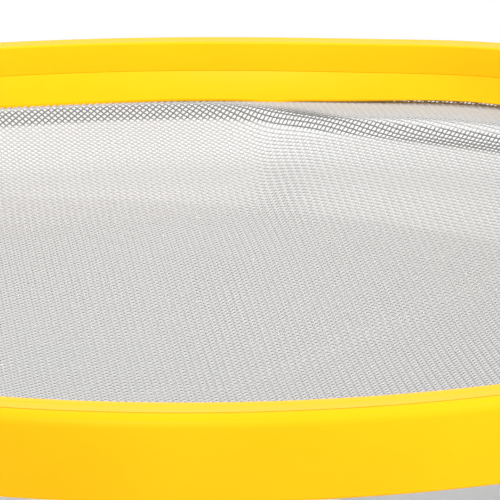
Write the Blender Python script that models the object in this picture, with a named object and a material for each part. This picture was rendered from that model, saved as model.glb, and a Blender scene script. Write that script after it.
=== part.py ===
"""A shallow round sieve in three pieces.

outer_hoop   the moulded hoop: outer wall, top lip, inner flange and a snap bead
clamp_ring   the ring pressed up into the hoop, with its tongue in the hoop's channel
wire_cloth   the dished wire cloth, its edge folded up between the hoop and the ring

Metres, +Z up. The origin is under the middle of the dish, on the plane that the sieve rests on.
Every piece is turned about the Z axis: its outline is a list of corners (radius, height, fillet),
and heights are counted from the hoop's underside until the piece is placed.
"""

import math

import bmesh
import bpy

MM = 0.001

# Driving dimensions
SEGMENTS = 72
ARC_STEPS = 2
MERGE_DISTANCE = 0.01 * MM
GAP = 0.3 * MM

OUTER_RADIUS = 125.0 * MM
LIP_INNER_RADIUS = 118.5 * MM
HOOP_HEIGHT = 11.6 * MM
WALL = 2.0 * MM
LIP_THICKNESS = 1.8 * MM
LIP_OUTER_FILLET = 1.2 * MM
LIP_INNER_FILLET = 0.4 * MM
FLANGE_HEIGHT = 5.5 * MM
FLANGE_THICKNESS = 1.4 * MM
BEAD_DEPTH = 0.7 * MM
BEAD_HEIGHT = 0.5 * MM

RING_BOTTOM = 0.6 * MM
RING_FACE_TOP_RADIUS = 118.2 * MM
RING_FACE_BOTTOM_RADIUS = 116.8 * MM
RING_CHAMFER = 1.5 * MM
RING_FILLET = 0.5 * MM

CLOTH_THICKNESS = 0.6 * MM
CLOTH_EDGE_HEIGHT = 7.6 * MM
CLOTH_BEND = 0.7 * MM
DISH_SHOULDER_DROP = 8.0 * MM
DISH_SHOULDER_WIDTH = 58.0 * MM
DISH_SHOULDER_POWER = 2
DISH_SAG = 16.0 * MM
DISH_SAG_POWER = 1.2
DISH_STEPS = 9
DISH_STEP_SPREAD = 1.4

PLASTIC_YELLOW = (0.96, 0.51, 0.005, 1.0)
CLOTH_STEEL = (0.62, 0.63, 0.64, 1.0)

# Worked out from those
WALL_INNER_RADIUS = OUTER_RADIUS - WALL
LIP_UNDERSIDE = HOOP_HEIGHT - LIP_THICKNESS
FLANGE_BOTTOM = HOOP_HEIGHT - FLANGE_HEIGHT
FLANGE_OUTER_RADIUS = LIP_INNER_RADIUS + FLANGE_THICKNESS
CLOTH_EDGE_RADIUS = WALL_INNER_RADIUS - GAP - CLOTH_THICKNESS / 2
RING_OUTER_RADIUS = CLOTH_EDGE_RADIUS - CLOTH_THICKNESS / 2 - GAP
RING_SHOULDER = FLANGE_BOTTOM - GAP
TONGUE_INNER_RADIUS = FLANGE_OUTER_RADIUS + GAP
TONGUE_TOP = LIP_UNDERSIDE - GAP
CLOTH_UNDER_RING = RING_BOTTOM - GAP - CLOTH_THICKNESS / 2
HOOP_BASE = DISH_SHOULDER_DROP + DISH_SAG + CLOTH_THICKNESS / 2 - CLOTH_UNDER_RING


def clear_scene():
    for old in list(bpy.data.objects):
        bpy.data.objects.remove(old, do_unlink=True)


def material(name, colour, roughness, metallic):
    made = bpy.data.materials.new(name)
    made.use_nodes = True
    shader = made.node_tree.nodes["Principled BSDF"]
    shader.inputs["Base Color"].default_value = colour
    shader.inputs["Roughness"].default_value = roughness
    shader.inputs["Metallic"].default_value = metallic
    return made


def unit(start, end):
    """The direction and the distance from one outline point to another."""
    step = (end[0] - start[0], end[1] - start[1])
    length = math.hypot(*step)
    return (step[0] / length, step[1] / length), length


def fillet(before, corner, after, radius):
    """The points of the arc that rounds a corner of an outline."""
    to_before, _ = unit(corner, before)
    to_after, _ = unit(corner, after)
    half = math.acos(to_before[0] * to_after[0] + to_before[1] * to_after[1]) / 2
    towards, _ = unit((0.0, 0.0), (to_before[0] + to_after[0], to_before[1] + to_after[1]))
    reach = radius / math.sin(half)
    centre = (corner[0] + towards[0] * reach, corner[1] + towards[1] * reach)
    tangent = radius / math.tan(half)
    first = (corner[0] + to_before[0] * tangent, corner[1] + to_before[1] * tangent)
    last = (corner[0] + to_after[0] * tangent, corner[1] + to_after[1] * tangent)
    start = math.atan2(first[1] - centre[1], first[0] - centre[0])
    sweep = math.atan2(last[1] - centre[1], last[0] - centre[0]) - start
    sweep = (sweep + math.pi) % math.tau - math.pi
    angles = [start + sweep * i / ARC_STEPS for i in range(ARC_STEPS + 1)]
    return [(centre[0] + radius * math.cos(a), centre[1] + radius * math.sin(a)) for a in angles]


def rounded(corners, closed=True):
    """The outline through (radius, height, fillet) corners, with their fillets as arcs."""
    points = []
    count = len(corners)
    for i, (radius, height, rounding) in enumerate(corners):
        at_end = not closed and i in (0, count - 1)
        if rounding == 0.0 or at_end:
            points.append((radius, height))
            continue
        before = corners[i - 1]
        after = corners[(i + 1) % count]
        points += fillet(before, (radius, height), after, rounding)
    return points


def turned(name, outline, closed, finish):
    """An object made by turning an outline about the Z axis, standing at the hoop's height."""
    mesh = bpy.data.meshes.new(name)
    build = bmesh.new()
    verts = [build.verts.new((radius, 0.0, height)) for radius, height in outline]
    pairs = list(zip(verts, verts[1:]))
    if closed:
        pairs.append((verts[-1], verts[0]))
    for pair in pairs:
        build.edges.new(pair)
    build.to_mesh(mesh)
    build.free()
    made = bpy.data.objects.new(name, mesh)
    bpy.context.collection.objects.link(made)
    made.location.z = HOOP_BASE
    mesh.materials.append(finish)
    turn = made.modifiers.new("turn", "SCREW")
    turn.steps = SEGMENTS
    turn.render_steps = SEGMENTS
    turn.use_merge_vertices = True
    turn.merge_threshold = MERGE_DISTANCE
    turn.use_smooth_shade = True
    return made


def make_outer_hoop(finish):
    """Runs down the outer wall, up its inner side, round the channel and up the inner edge."""
    bead_radius = WALL_INNER_RADIUS - BEAD_DEPTH
    corners = [
        (OUTER_RADIUS, HOOP_HEIGHT, LIP_OUTER_FILLET),
        (OUTER_RADIUS, 0.0, 0.0),
        (bead_radius, 0.0, 0.0),
        (bead_radius, BEAD_HEIGHT, 0.0),
        (WALL_INNER_RADIUS, BEAD_HEIGHT + BEAD_DEPTH, 0.0),
        (WALL_INNER_RADIUS, LIP_UNDERSIDE, 0.0),
        (FLANGE_OUTER_RADIUS, LIP_UNDERSIDE, 0.0),
        (FLANGE_OUTER_RADIUS, FLANGE_BOTTOM, 0.0),
        (LIP_INNER_RADIUS, FLANGE_BOTTOM, 0.0),
        (LIP_INNER_RADIUS, HOOP_HEIGHT, LIP_INNER_FILLET),
    ]
    return turned("outer_hoop", rounded(corners), True, finish)


def make_clamp_ring(finish):
    """Runs down the outer face to the chamfer, then up the conical face to the shoulder."""
    corners = [
        (RING_OUTER_RADIUS, TONGUE_TOP, 0.0),
        (RING_OUTER_RADIUS, RING_BOTTOM + RING_CHAMFER, 0.0),
        (RING_OUTER_RADIUS - RING_CHAMFER, RING_BOTTOM, 0.0),
        (RING_FACE_BOTTOM_RADIUS, RING_BOTTOM, RING_FILLET),
        (RING_FACE_TOP_RADIUS, RING_SHOULDER, 0.0),
        (TONGUE_INNER_RADIUS, RING_SHOULDER, 0.0),
        (TONGUE_INNER_RADIUS, TONGUE_TOP, 0.0),
    ]
    return turned("clamp_ring", rounded(corners), True, finish)


def dish_height(radius):
    """The cloth's height at a radius: a shoulder, steep at the ring, and a nearly conical sag."""
    inward = (RING_FACE_BOTTOM_RADIUS - radius) / DISH_SHOULDER_WIDTH
    left = max(1.0 - inward, 0.0) ** DISH_SHOULDER_POWER
    sag = DISH_SAG * (1.0 - (radius / RING_FACE_BOTTOM_RADIUS) ** DISH_SAG_POWER)
    return CLOTH_UNDER_RING - DISH_SHOULDER_DROP * (1.0 - left) - sag


def make_wire_cloth(finish):
    """Runs down the folded edge, under the ring and down the dish to the middle."""
    bend_out = CLOTH_UNDER_RING + RING_CHAMFER
    corners = [
        (CLOTH_EDGE_RADIUS, CLOTH_EDGE_HEIGHT, 0.0),
        (CLOTH_EDGE_RADIUS, bend_out + CLOTH_BEND / 2, CLOTH_BEND),
        (CLOTH_EDGE_RADIUS - RING_CHAMFER - CLOTH_BEND / 2, CLOTH_UNDER_RING, CLOTH_BEND),
        (RING_FACE_BOTTOM_RADIUS, CLOTH_UNDER_RING, 0.0),
    ]
    outline = rounded(corners, closed=False)
    for i in range(1, DISH_STEPS + 1):
        radius = RING_FACE_BOTTOM_RADIUS * (1.0 - (i / DISH_STEPS) ** DISH_STEP_SPREAD)
        outline.append((radius, dish_height(radius)))
    cloth = turned("wire_cloth", outline, False, finish)
    thicken = cloth.modifiers.new("thicken", "SOLIDIFY")
    thicken.thickness = CLOTH_THICKNESS
    thicken.offset = 0.0
    thicken.use_even_offset = True
    return cloth


def main():
    clear_scene()
    plastic = material("yellow_plastic", PLASTIC_YELLOW, 0.35, 0.0)
    steel = material("steel_wire", CLOTH_STEEL, 0.38, 1.0)
    make_outer_hoop(plastic)
    make_clamp_ring(plastic)
    make_wire_cloth(steel)


main()
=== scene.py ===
"""The looks of the shallow round sieve: the moulded hoop, the clamp ring and every wire of the cloth.

Metres, +Z up, in the CAD's own frame. The camera stands on the -Y side and looks along +Y, so
the back of the hoop is at +Y. An azimuth here is counted from +Y towards +X.
"""

import math

import bpy
import numpy as np
from mathutils import Matrix, Vector


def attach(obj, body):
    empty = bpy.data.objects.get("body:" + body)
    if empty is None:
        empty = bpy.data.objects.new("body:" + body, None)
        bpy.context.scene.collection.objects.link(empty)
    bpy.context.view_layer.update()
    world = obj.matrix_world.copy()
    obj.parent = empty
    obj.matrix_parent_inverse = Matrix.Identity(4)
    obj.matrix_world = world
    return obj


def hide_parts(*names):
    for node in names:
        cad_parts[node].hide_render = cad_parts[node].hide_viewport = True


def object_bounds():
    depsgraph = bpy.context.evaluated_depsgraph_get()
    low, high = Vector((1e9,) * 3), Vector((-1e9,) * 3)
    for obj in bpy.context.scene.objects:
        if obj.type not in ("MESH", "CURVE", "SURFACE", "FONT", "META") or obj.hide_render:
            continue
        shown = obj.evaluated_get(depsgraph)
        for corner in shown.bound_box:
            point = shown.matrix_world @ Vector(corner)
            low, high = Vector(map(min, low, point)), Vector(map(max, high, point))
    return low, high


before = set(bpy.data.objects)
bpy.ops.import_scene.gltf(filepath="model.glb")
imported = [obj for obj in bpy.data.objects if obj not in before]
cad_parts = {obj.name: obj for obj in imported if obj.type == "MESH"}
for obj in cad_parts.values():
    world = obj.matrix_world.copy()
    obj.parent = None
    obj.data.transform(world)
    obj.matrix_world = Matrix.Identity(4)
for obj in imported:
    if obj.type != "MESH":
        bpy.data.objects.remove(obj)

MM = 0.001
CAD_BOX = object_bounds()

# ---------------------------------------------------------------- sizes read from the frame


def node_span(node):
    """A turned node's least and greatest radius and height."""
    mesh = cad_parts[node].data
    points = np.empty(len(mesh.vertices) * 3)
    mesh.vertices.foreach_get("co", points)
    points = points.reshape(-1, 3)
    radii = np.hypot(points[:, 0], points[:, 1])
    return radii.min(), radii.max(), points[:, 2].min(), points[:, 2].max()


LIP_INNER, HOOP_OUTER, HOOP_BASE, HOOP_TOP = node_span("outer_hoop")
RING_INNER, RING_OUTER, RING_BASE, RING_TOP = node_span("clamp_ring")
_, CLOTH_OUTER, _, _ = node_span("wire_cloth")

# ---------------------------------------------------------------- the moulded section

WALL = 2.0 * MM
LIP_THICKNESS = 1.8 * MM
FLANGE_HEIGHT = 5.5 * MM
FLANGE_THICKNESS = 1.4 * MM
GAP = 0.3 * MM
BEAD_DEPTH = 0.7 * MM
BEAD_HEIGHT = 0.5 * MM
RING_CHAMFER = 1.5 * MM
WARP = 3.0 * MM
LIFT = 0.75 * MM
LIFT_AZIMUTH = math.radians(27.0)
LIFT_WIDTH = math.radians(10.0)
TURN_STEPS = 720
ARC_STEPS = 6

# The hoop's rounded corners, and the shallow groove in its lip, measured from the lip's inner edge.
LIP_OUTER_FILLET = 1.8 * MM
FOOT_FILLET = 0.35 * MM
BEAD_FOOT_FILLET = 0.25 * MM
BEAD_FILLET = 0.2 * MM
CHANNEL_FILLET = 0.4 * MM
FLANGE_FILLET = 0.1 * MM
LIP_INNER_FILLET = 0.4 * MM
GROOVE_FILLET = 0.15 * MM
LIP_CREST_FILLET = 0.3 * MM
GROOVE_DEPTH = 0.07 * MM
GROOVE_START = 1.5 * MM
GROOVE_FLOOR_START = 1.9 * MM
GROOVE_FLOOR_END = 3.9 * MM
GROOVE_END = 4.3 * MM
LIP_CREST_END = 4.9 * MM

# The clamp ring's rounded corners, its fine gap under the flange and how far its foot stands in.
TONGUE_FILLET = 0.25 * MM
CHAMFER_FILLET = 0.3 * MM
RING_FOOT_FILLET = 0.5 * MM
SHOULDER_FILLET = 0.12 * MM
SHOULDER_INNER_FILLET = 0.1 * MM
SHOULDER_GAP = 0.02 * MM
RING_FOOT_INSET = 0.15 * MM
RING_FACE_INSET = 0.1 * MM

# ---------------------------------------------------------------- the cloth

# KNEES are bends of the dish: distance inwards and width of the bend in mm, change of slope.
PITCH = 0.90 * MM
WIRE_RADIUS = 0.16 * MM
WIRE_SIDES = 4
LATTICE_TURN = math.radians(-38.0)
CLOTH_PIECES = 4
PROFILE_POINTS = 400
LATTICE_MARGIN = 1.08
LEAST_CROSSINGS = 4
CRIMP = 0.50
RIM_SLOPE = 0.80
KNEES = ((3.1, 0.5, -0.44), (34.0, 4.0, -0.25), (85.0, 10.0, -0.11))
CLOTH_LEVEL = RING_BASE - 2.0 * WIRE_RADIUS
UNDER_RING_END = RING_OUTER - RING_CHAMFER
FOLD_HEIGHT = 3.0 * MM


def warp(x, y):
    """How far the sprung hoop is lifted: towards its two sides, and a little at the back right."""
    away = (np.arctan2(x, y) - LIFT_AZIMUTH) / LIFT_WIDTH
    local = LIFT * np.exp(-away * away) * (np.hypot(x, y) / HOOP_OUTER) ** 2
    return WARP * (x / HOOP_OUTER) ** 2 + local


def unit(start, end):
    """The direction from one outline point to another."""
    step = (end[0] - start[0], end[1] - start[1])
    length = math.hypot(*step)
    return step[0] / length, step[1] / length


def fillet(before, corner, after, radius):
    """The points of the arc that rounds a corner of an outline."""
    to_before = unit(corner, before)
    to_after = unit(corner, after)
    half = math.acos(to_before[0] * to_after[0] + to_before[1] * to_after[1]) / 2
    towards = unit((0.0, 0.0), (to_before[0] + to_after[0], to_before[1] + to_after[1]))
    reach = radius / math.sin(half)
    centre = (corner[0] + towards[0] * reach, corner[1] + towards[1] * reach)
    tangent = radius / math.tan(half)
    first = (corner[0] + to_before[0] * tangent, corner[1] + to_before[1] * tangent)
    last = (corner[0] + to_after[0] * tangent, corner[1] + to_after[1] * tangent)
    start = math.atan2(first[1] - centre[1], first[0] - centre[0])
    sweep = math.atan2(last[1] - centre[1], last[0] - centre[0]) - start
    sweep = (sweep + math.pi) % math.tau - math.pi
    angles = [start + sweep * i / ARC_STEPS for i in range(ARC_STEPS + 1)]
    return [(centre[0] + radius * math.cos(a), centre[1] + radius * math.sin(a)) for a in angles]


def rounded(corners):
    """The closed outline through (radius, height, fillet) corners."""
    points = []
    count = len(corners)
    for i, (radius, height, rounding) in enumerate(corners):
        before = corners[i - 1]
        after = corners[(i + 1) % count]
        points += fillet(before, (radius, height), after, rounding)
    return points


def mesh_object(name, points, quads, finish):
    """A smooth object from an array of points and an array of quads."""
    mesh = bpy.data.meshes.new(name)
    mesh.vertices.add(len(points))
    mesh.vertices.foreach_set("co", np.ascontiguousarray(points, dtype=np.float32).ravel())
    mesh.loops.add(quads.size)
    mesh.loops.foreach_set("vertex_index", np.ascontiguousarray(quads, dtype=np.int32).ravel())
    mesh.polygons.add(len(quads))
    mesh.polygons.foreach_set("loop_start", np.arange(0, quads.size, 4, dtype=np.int32))
    mesh.update(calc_edges=True)
    mesh.validate()
    mesh.shade_smooth()
    made = bpy.data.objects.new(name, mesh)
    bpy.context.scene.collection.objects.link(made)
    mesh.materials.append(finish)
    return made


def turned(name, outline, finish, shift=None):
    """A closed outline turned about Z. shift(azimuth, radius, height) gives a change of height."""
    ring = np.array(outline)
    count = len(ring)
    azimuths = np.arange(TURN_STEPS) * math.tau / TURN_STEPS
    radius = np.tile(ring[:, 0], (TURN_STEPS, 1))
    height = np.tile(ring[:, 1], (TURN_STEPS, 1))
    around = azimuths[:, None]
    if shift is not None:
        height = height + shift(around, radius, height)
    height = height + warp(radius * np.sin(around), radius * np.cos(around))
    points = np.stack([radius * np.sin(around), radius * np.cos(around), height], axis=2)
    steps = np.arange(TURN_STEPS)[:, None] * count
    after = (np.arange(TURN_STEPS)[:, None] + 1) % TURN_STEPS * count
    here = np.arange(count)[None, :]
    there = (here + 1) % count
    quads = np.stack([steps + here, after + here, after + there, steps + there], axis=2)
    return mesh_object(name, points.reshape(-1, 3), quads.reshape(-1, 4), finish)


def make_hoop(finish):
    """The hoop as in the CAD, with its fillets and the shallow groove round its lip."""
    wall_inner = HOOP_OUTER - WALL
    bead = wall_inner - BEAD_DEPTH
    flange_outer = LIP_INNER + FLANGE_THICKNESS
    lip_under = HOOP_TOP - LIP_THICKNESS
    corners = [
        (HOOP_OUTER, HOOP_TOP - GROOVE_DEPTH, LIP_OUTER_FILLET),
        (HOOP_OUTER, HOOP_BASE, FOOT_FILLET),
        (bead, HOOP_BASE, BEAD_FOOT_FILLET),
        (bead, HOOP_BASE + BEAD_HEIGHT, BEAD_FILLET),
        (wall_inner, HOOP_BASE + BEAD_HEIGHT + BEAD_DEPTH, BEAD_FILLET),
        (wall_inner, lip_under, CHANNEL_FILLET),
        (flange_outer, lip_under, CHANNEL_FILLET),
        (flange_outer, HOOP_TOP - FLANGE_HEIGHT, FLANGE_FILLET),
        (LIP_INNER, HOOP_TOP - FLANGE_HEIGHT, FLANGE_FILLET),
        (LIP_INNER, HOOP_TOP, LIP_INNER_FILLET),
        (LIP_INNER + GROOVE_START, HOOP_TOP, GROOVE_FILLET),
        (LIP_INNER + GROOVE_FLOOR_START, HOOP_TOP - GROOVE_DEPTH, GROOVE_FILLET),
        (LIP_INNER + GROOVE_FLOOR_END, HOOP_TOP - GROOVE_DEPTH, GROOVE_FILLET),
        (LIP_INNER + GROOVE_END, HOOP_TOP, GROOVE_FILLET),
        (LIP_INNER + LIP_CREST_END, HOOP_TOP, LIP_CREST_FILLET),
    ]
    return turned("hoop_moulding", rounded(corners), finish)


# Each lump of the ring's lower edge: azimuth and width in degrees, drop in mm.
FLASH_LUMPS = (
    (6.8, 1.6, 0.5), (-14.0, 9.0, 0.5), (-31.0, 3.0, 0.2),
    (25.0, 9.0, -0.95), (71.0, 2.5, 0.4), (133.0, 2.0, 0.3),
    (168.0, 3.0, 0.35), (-151.0, 2.0, 0.4), (-96.0, 2.5, 0.3),
)
FLASH_LEAST = 0.12
FLASH_RIPPLE = 0.06
FLASH_WAVES = 17.0
FLASH_SLOW_WAVES = 5.0
FLASH_HEIGHT = 1.2 * MM
FLASH_REACH = 2.5 * MM
FLASH_FADE = 2.0 * MM


def ring_flash(azimuth, radius, height):
    """The change of height that makes the clamp ring's lower inner edge slightly uneven."""
    degrees = (np.degrees(azimuth) + 180.0) % 360.0 - 180.0
    waves = np.sin(azimuth * FLASH_WAVES) * np.sin(azimuth * FLASH_SLOW_WAVES + 1.0)
    drop = FLASH_LEAST + FLASH_RIPPLE * (1.0 + waves)
    for centre, width, depth in FLASH_LUMPS:
        drop = drop + depth * np.exp(-(((degrees - centre) / width) ** 2))
    low = np.clip((RING_BASE + FLASH_HEIGHT - height) / FLASH_HEIGHT, 0.0, 1.0)
    near = np.clip((RING_INNER + FLASH_REACH - radius) / FLASH_FADE, 0.0, 1.0)
    return -drop * MM * low * near


def make_ring(finish):
    """The clamp ring as in the CAD, with fillets and its uneven lower inner edge."""
    flange_outer = LIP_INNER + FLANGE_THICKNESS
    shoulder = HOOP_TOP - FLANGE_HEIGHT - SHOULDER_GAP
    corners = [
        (RING_OUTER, RING_TOP, TONGUE_FILLET),
        (RING_OUTER, RING_BASE + RING_CHAMFER, CHAMFER_FILLET),
        (RING_OUTER - RING_CHAMFER, RING_BASE, CHAMFER_FILLET),
        (RING_INNER - RING_FOOT_INSET, RING_BASE, RING_FOOT_FILLET),
        (LIP_INNER - RING_FACE_INSET, shoulder, SHOULDER_FILLET),
        (flange_outer + GAP, shoulder, SHOULDER_INNER_FILLET),
        (flange_outer + GAP, RING_TOP, TONGUE_FILLET),
    ]
    return turned("ring_moulding", rounded(corners), finish, ring_flash)


# ---------------------------------------------------------------- the cloth's surface

# Each level ledge under the ring: azimuth and half width in degrees, reach inwards in mm.
LEDGES = (
    (30.0, 22.0, 11.0), (104.0, 26.0, 2.5), (176.0, 34.0, 3.0),
    (-112.0, 22.0, 2.0), (-62.0, 12.0, 2.5),
)
# Each dent or bulge of the dish, in mm: x, y, reach, rise.
DENTS = (
    (0.0, -22.0, 48.0, -5.4), (-46.0, 88.0, 22.0, -2.2), (-5.0, 60.0, 16.0, 0.6),
    (38.0, 60.0, 26.0, 0.8), (-40.0, 50.0, 20.0, -0.5), (78.0, -8.0, 20.0, 0.6),
    (-70.0, -20.0, 24.0, 0.7), (10.0, -60.0, 26.0, -0.6), (72.0, -52.0, 20.0, 0.6),
    (-48.0, -76.0, 20.0, -0.7),
)
LEDGE_END_SOFTNESS = 5.0
LEDGE_END_LIMIT = 3.0
SHOULDER_SOFTNESS = 0.5 * MM
HELD_WIDTH = 6.0 * MM
CREASE_X = 12.0 * MM
CREASE_Y = 93.0 * MM
CREASE_DEPTH = 2.8 * MM
CREASE_WIDTH = 9.0 * MM
CREASE_LENGTH = 20.0 * MM
CREASE_SOFTNESS = 2.0 * MM


def ledge_width(azimuth):
    """How far inwards the cloth runs level before its shoulder, by azimuth."""
    width = np.zeros_like(azimuth)
    degrees = np.degrees(azimuth)
    for centre, half, reach in LEDGES:
        away = np.abs((degrees - centre + 180.0) % 360.0 - 180.0)
        edge = np.clip((half - away) / LEDGE_END_SOFTNESS, -LEDGE_END_LIMIT, LEDGE_END_LIMIT)
        width = width + reach * MM * 0.5 * (1.0 + np.tanh(edge))
    return width


def softplus(value):
    """A ramp with a rounded foot."""
    return np.logaddexp(0.0, value)


def dish_drop(inward):
    """How far a plain dish has dropped at each distance inwards from the ring."""
    drop = RIM_SLOPE * inward
    for at, width, change in KNEES:
        reached = softplus((inward - at * MM) / (width * MM)) - softplus(-at / width)
        drop = drop + change * width * MM * reached
    return drop


def cloth_height(x, y):
    """The cloth's height inside the ring, below its level at the ring."""
    radius = np.hypot(x, y)
    inward = np.maximum(RING_INNER - radius, 0.0)
    start = ledge_width(np.arctan2(x, y))
    soft = SHOULDER_SOFTNESS
    past = soft * (softplus((inward - start) / soft) - softplus(-start / soft))
    height = -dish_drop(past)
    hold = 1.0 - np.exp(-((inward / HELD_WIDTH) ** 2))
    for at_x, at_y, reach, rise in DENTS:
        away = ((x - at_x * MM) ** 2 + (y - at_y * MM) ** 2) / (reach * MM) ** 2
        height = height + rise * MM * np.exp(-away) * hold
    aside = np.hypot(x - CREASE_X, CREASE_SOFTNESS) / CREASE_WIDTH
    along = (y - CREASE_Y) / CREASE_LENGTH
    return height - CREASE_DEPTH * np.exp(-aside - along * along) * hold


def radial_profile():
    """The plan radius and the extra height at each distance along the cloth from its middle."""
    radius = np.linspace(0.0, RING_INNER, PROFILE_POINTS)
    rise = -dish_drop(RING_INNER - radius)
    along = np.concatenate([[0.0], np.cumsum(np.hypot(np.diff(radius), np.diff(rise)))])
    level = CLOTH_OUTER - WIRE_RADIUS * 2.0
    chamfer = level - UNDER_RING_END
    path = [(UNDER_RING_END, 0.0), (level, chamfer), (level, chamfer + FOLD_HEIGHT)]
    at = along[-1]
    last = (RING_INNER, 0.0)
    radii = list(radius)
    lifts = [0.0] * len(radius)
    distances = list(along)
    for point in path:
        at += math.hypot(point[0] - last[0], point[1] - last[1])
        distances.append(at)
        radii.append(point[0])
        lifts.append(point[1])
        last = point
    return np.array(distances), np.array(radii), np.array(lifts)


def lattice():
    """Each crossing's place on the cloth's middle surface, its normal, and which lie in the cloth."""
    distances, radii, lifts = radial_profile()
    count = int(distances[-1] * LATTICE_MARGIN / PITCH)
    index = np.arange(-count, count + 1)
    i, j = np.meshgrid(index, index, indexing="ij")
    u = PITCH * (i * math.cos(LATTICE_TURN) - j * math.sin(LATTICE_TURN))
    v = PITCH * (i * math.sin(LATTICE_TURN) + j * math.cos(LATTICE_TURN))
    along = np.hypot(u, v)
    inside = along < distances[-1]
    radius = np.interp(along, distances, radii)
    scale = radius / np.maximum(along, 1e-9)
    x = u * scale
    y = v * scale
    z = CLOTH_LEVEL + cloth_height(x, y) + warp(x, y) + np.interp(along, distances, lifts)
    place = np.stack([x, y, z], axis=2)
    normal = np.cross(np.gradient(place, axis=0), np.gradient(place, axis=1))
    normal /= np.maximum(np.linalg.norm(normal, axis=2, keepdims=True), 1e-12)
    return place, normal, inside, i + j


def wire(points, normals):
    """The points and quads of one wire, a tube with capped ends along a row of points."""
    tangent = np.gradient(points, axis=0)
    side = np.cross(tangent, normals)
    side /= np.linalg.norm(side, axis=1, keepdims=True)
    up = np.cross(side, tangent)
    up /= np.linalg.norm(up, axis=1, keepdims=True)
    angles = np.arange(WIRE_SIDES) * math.tau / WIRE_SIDES
    rim = [points + WIRE_RADIUS * (math.cos(a) * up + math.sin(a) * side) for a in angles]
    tube = np.stack(rim, axis=1).reshape(-1, 3)
    steps = np.arange(len(points) - 1)[:, None] * WIRE_SIDES
    here = np.arange(WIRE_SIDES)[None, :]
    there = (here + 1) % WIRE_SIDES
    after = steps + WIRE_SIDES
    walls = np.stack([steps + here, after + here, after + there, steps + there], axis=2)
    last = (len(points) - 1) * WIRE_SIDES
    caps = np.array([[0, 1, 2, 3], [last + 3, last + 2, last + 1, last]])
    return tube, np.concatenate([walls.reshape(-1, 4), caps])


def make_wires(name, place, normal, inside, sign, finish):
    """One set of wires, a row of the lattice to each, in CLOTH_PIECES objects."""
    rows = [r for r in range(len(place)) if inside[r].sum() >= LEAST_CROSSINGS]
    made = []
    for k, part in enumerate(np.array_split(np.array(rows), CLOTH_PIECES)):
        points = []
        quads = []
        count = 0
        for r in part:
            keep = np.flatnonzero(inside[r])
            keep = np.arange(keep[0], keep[-1] + 1)
            weave = sign[r, keep, None] * CRIMP * WIRE_RADIUS * normal[r, keep]
            tube, faces = wire(place[r, keep] + weave, normal[r, keep])
            points.append(tube)
            quads.append(faces + count)
            count += len(tube)
        piece = mesh_object(f"{name}_{k + 1}", np.concatenate(points), np.concatenate(quads), finish)
        made.append(piece)
    return made


# ---------------------------------------------------------------- materials

PLASTIC_DEEP = (0.94, 0.48, 0.004)
PLASTIC_PALE = (0.97, 0.505, 0.005)
PLASTIC_SMOOTH = (0.30, 0.30, 0.30)
PLASTIC_ROUGH = (0.42, 0.42, 0.42)
PLASTIC_SPECULAR = 0.07
FLOW_SCALE = 55.0
FLOW_DETAIL = 4.0
GRAIN_SCALE = 2600.0
GRAIN_DETAIL = 2.0
GRAIN_STRENGTH = 0.10
GRAIN_DEPTH = 0.02 * MM
# Painted shade on the wires: a band just below the cloth's level at the ring gets a darker grey.
# These three set the band's depth and the fractions of it where the darker grey starts and ends.
SHADE_BAND_DEPTH = 2.7 * MM
SHADE_BAND_BOTTOM = 0.18
SHADE_BAND_TOP = 0.88
WIRE_ROUGHNESS = 0.5
WIRE_METALLIC = 0.25
WIRE_BRIGHT = (0.51, 0.51, 0.51, 1.0)
# The darker grey painted on the wires in that band as shade.
WIRE_PAINTED_SHADE = (0.21, 0.21, 0.205, 1.0)


def new_material(name):
    """A material, its node tree and its shader."""
    made = bpy.data.materials.new(name)
    made.use_nodes = True
    return made, made.node_tree, made.node_tree.nodes["Principled BSDF"]


def noise(tree, scale, detail):
    """A noise fixed to the object."""
    where = tree.nodes.new("ShaderNodeTexCoord")
    pattern = tree.nodes.new("ShaderNodeTexNoise")
    pattern.inputs["Scale"].default_value = scale
    pattern.inputs["Detail"].default_value = detail
    tree.links.new(where.outputs["Object"], pattern.inputs["Vector"])
    return pattern.outputs["Fac"]


def ramp(tree, source, low, high, start=0.3, end=0.7):
    """A colour or grey that runs from low to high as the source does."""
    made = tree.nodes.new("ShaderNodeValToRGB")
    made.color_ramp.elements[0].position = start
    made.color_ramp.elements[1].position = end
    made.color_ramp.elements[0].color = (*low, 1.0)
    made.color_ramp.elements[1].color = (*high, 1.0)
    tree.links.new(source, made.inputs["Fac"])
    return made.outputs["Color"]


def bump(tree, shader, source, strength, distance):
    """A fine relief on a shader's surface."""
    made = tree.nodes.new("ShaderNodeBump")
    made.inputs["Strength"].default_value = strength
    made.inputs["Distance"].default_value = distance
    tree.links.new(source, made.inputs["Height"])
    tree.links.new(made.outputs["Normal"], shader.inputs["Normal"])


def plastic(name):
    """Glossy moulded yellow plastic, with faint flow marks and a fine moulded grain."""
    made, tree, shader = new_material(name)
    flow = noise(tree, FLOW_SCALE, FLOW_DETAIL)
    grain = noise(tree, GRAIN_SCALE, GRAIN_DETAIL)
    colour = ramp(tree, flow, PLASTIC_DEEP, PLASTIC_PALE)
    tree.links.new(colour, shader.inputs["Base Color"])
    roughness = ramp(tree, grain, PLASTIC_SMOOTH, PLASTIC_ROUGH)
    tree.links.new(roughness, shader.inputs["Roughness"])
    bump(tree, shader, grain, GRAIN_STRENGTH, GRAIN_DEPTH)
    shader.inputs["Specular IOR Level"].default_value = PLASTIC_SPECULAR
    return made


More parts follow.
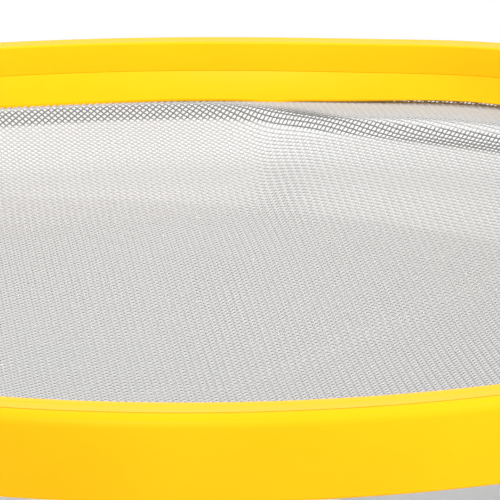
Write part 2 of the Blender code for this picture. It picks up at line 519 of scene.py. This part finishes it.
def steel():
    """Stainless wire, with painted shade: a darker grey in the band where the cloth is bent down from
    the ring.
    """
    made, tree, shader = new_material("wire_steel")
    where = tree.nodes.new("ShaderNodeTexCoord")
    parts = tree.nodes.new("ShaderNodeSeparateXYZ")
    tree.links.new(where.outputs["Object"], parts.inputs["Vector"])
    level = tree.nodes.new("ShaderNodeMapRange")
    level.inputs["From Min"].default_value = CLOTH_LEVEL - SHADE_BAND_DEPTH
    level.inputs["From Max"].default_value = CLOTH_LEVEL
    tree.links.new(parts.outputs["Z"], level.inputs["Value"])
    # Painted shade: this ramp darkens the wires in the band below the ring's level.
    painted_shade_ramp = tree.nodes.new("ShaderNodeValToRGB")
    painted_shade_ramp.color_ramp.elements[0].color = WIRE_BRIGHT
    painted_shade_ramp.color_ramp.elements[1].color = WIRE_BRIGHT
    painted_shade_ramp.color_ramp.elements.new(SHADE_BAND_BOTTOM).color = WIRE_PAINTED_SHADE
    painted_shade_ramp.color_ramp.elements.new(SHADE_BAND_TOP).color = WIRE_PAINTED_SHADE
    tree.links.new(level.outputs["Result"], painted_shade_ramp.inputs["Fac"])
    tree.links.new(painted_shade_ramp.outputs["Color"], shader.inputs["Base Color"])
    shader.inputs["Roughness"].default_value = WIRE_ROUGHNESS
    shader.inputs["Metallic"].default_value = WIRE_METALLIC
    return made


# ---------------------------------------------------------------- stage, lights, camera

VIEW_DISTANCE = 0.596
SENSOR_WIDTH = 36.0
NEAREST_SEEN = 0.01
VIEW_ELEVATION = math.radians(13.42)
AIM_RIGHT = math.radians(0.787)
AIM_DOWN = math.radians(0.962)
ROLL = math.radians(-0.28)
LENS = 270.0
TABLE_NEAR = -2.0
TABLE_FAR = 0.27
TABLE_HALF_WIDTH = 2.5
TABLE_GREY = (0.78, 0.78, 0.78, 1.0)
TABLE_ROUGHNESS = 0.8
SKY_STRENGTH = 1.0
LAMP_EDGE = 0.4
LAMP_SIZE = 0.12
KEY_PLACE = (1.09, -0.42, 0.96)
KEY_TARGET = (0.0, -0.06, 0.02)
KEY_POWER = 62.0
KEY_CONE = 16.0
FAR_SIDE_PLACE = (-0.12, -0.62, 0.55)
FAR_SIDE_TARGET = (0.008, 0.112, 0.03)
FAR_SIDE_POWER = 30.0
FAR_SIDE_CONE = 14.0


def make_stage():
    """A pale table top, level with the lowest point of the dish."""
    mesh = bpy.data.meshes.new("table")
    low = CAD_BOX[0][2]
    near, far, half = TABLE_NEAR, TABLE_FAR, TABLE_HALF_WIDTH
    corners = [(-half, near, low), (half, near, low), (half, far, low), (-half, far, low)]
    mesh.from_pydata(corners, [], [(0, 1, 2, 3)])
    table = bpy.data.objects.new("table", mesh)
    bpy.context.scene.collection.objects.link(table)
    made, _, shader = new_material("table_grey")
    shader.inputs["Base Color"].default_value = TABLE_GREY
    shader.inputs["Roughness"].default_value = TABLE_ROUGHNESS
    mesh.materials.append(made)


def spot_light(name, place, target, power, cone):
    """A soft round lamp with a narrow cone, aimed at a point."""
    light = bpy.data.lights.new(name, "SPOT")
    light.energy = power
    light.spot_size = math.radians(cone)
    light.spot_blend = LAMP_EDGE
    light.shadow_soft_size = LAMP_SIZE
    made = bpy.data.objects.new(name, light)
    made.location = place
    made.rotation_euler = (Vector(place) - Vector(target)).to_track_quat("Z", "Y").to_euler()
    bpy.context.scene.collection.objects.link(made)


def make_lights():
    """An even white surround and two soft lamps."""
    world = bpy.data.worlds.new("studio")
    world.use_nodes = True
    background = world.node_tree.nodes["Background"]
    background.inputs["Color"].default_value = (1.0, 1.0, 1.0, 1.0)
    background.inputs["Strength"].default_value = SKY_STRENGTH
    bpy.context.scene.world = world
    spot_light("lamp_right", KEY_PLACE, KEY_TARGET, KEY_POWER, KEY_CONE)
    spot_light("lamp_far_side", FAR_SIDE_PLACE, FAR_SIDE_TARGET, FAR_SIDE_POWER, FAR_SIDE_CONE)


def make_camera():
    """The camera, placed from the middle of the hoop's top and turned a little off it."""
    target = Vector((0.0, 0.0, HOOP_TOP))
    back = Vector((0.0, -math.cos(VIEW_ELEVATION), math.sin(VIEW_ELEVATION)))
    camera = bpy.data.objects.new("camera", bpy.data.cameras.new("camera"))
    camera.data.lens = LENS
    camera.data.sensor_width = SENSOR_WIDTH
    camera.data.clip_start = NEAREST_SEEN
    turn = (-back).to_track_quat("-Z", "Y").to_matrix().to_4x4()
    turn = turn @ Matrix.Rotation(-AIM_RIGHT, 4, "Y") @ Matrix.Rotation(-AIM_DOWN, 4, "X")
    turn = turn @ Matrix.Rotation(ROLL, 4, "Z")
    camera.matrix_world = Matrix.Translation(target + back * VIEW_DISTANCE) @ turn
    bpy.context.scene.collection.objects.link(camera)
    bpy.context.scene.camera = camera
    bpy.context.scene.view_settings.view_transform = "Standard"


def main():
    make_camera()
    make_lights()
    make_stage()

    hoop = make_hoop(plastic("hoop_plastic"))
    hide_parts("outer_hoop")
    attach(hoop, "root")

    ring = make_ring(plastic("ring_plastic"))
    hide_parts("clamp_ring")
    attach(ring, "root")

    place, normal, inside, order = lattice()
    weave = np.where(order % 2 == 0, 1.0, -1.0)
    metal = steel()
    wires = make_wires("warp_wires", place, normal, inside, weave, metal)
    swap = (1, 0, 2)
    wires += make_wires(
        "weft_wires", place.transpose(swap), normal.transpose(swap), inside.T, -weave.T, metal
    )
    for piece in wires:
        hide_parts("wire_cloth")
        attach(piece, "root")


main()
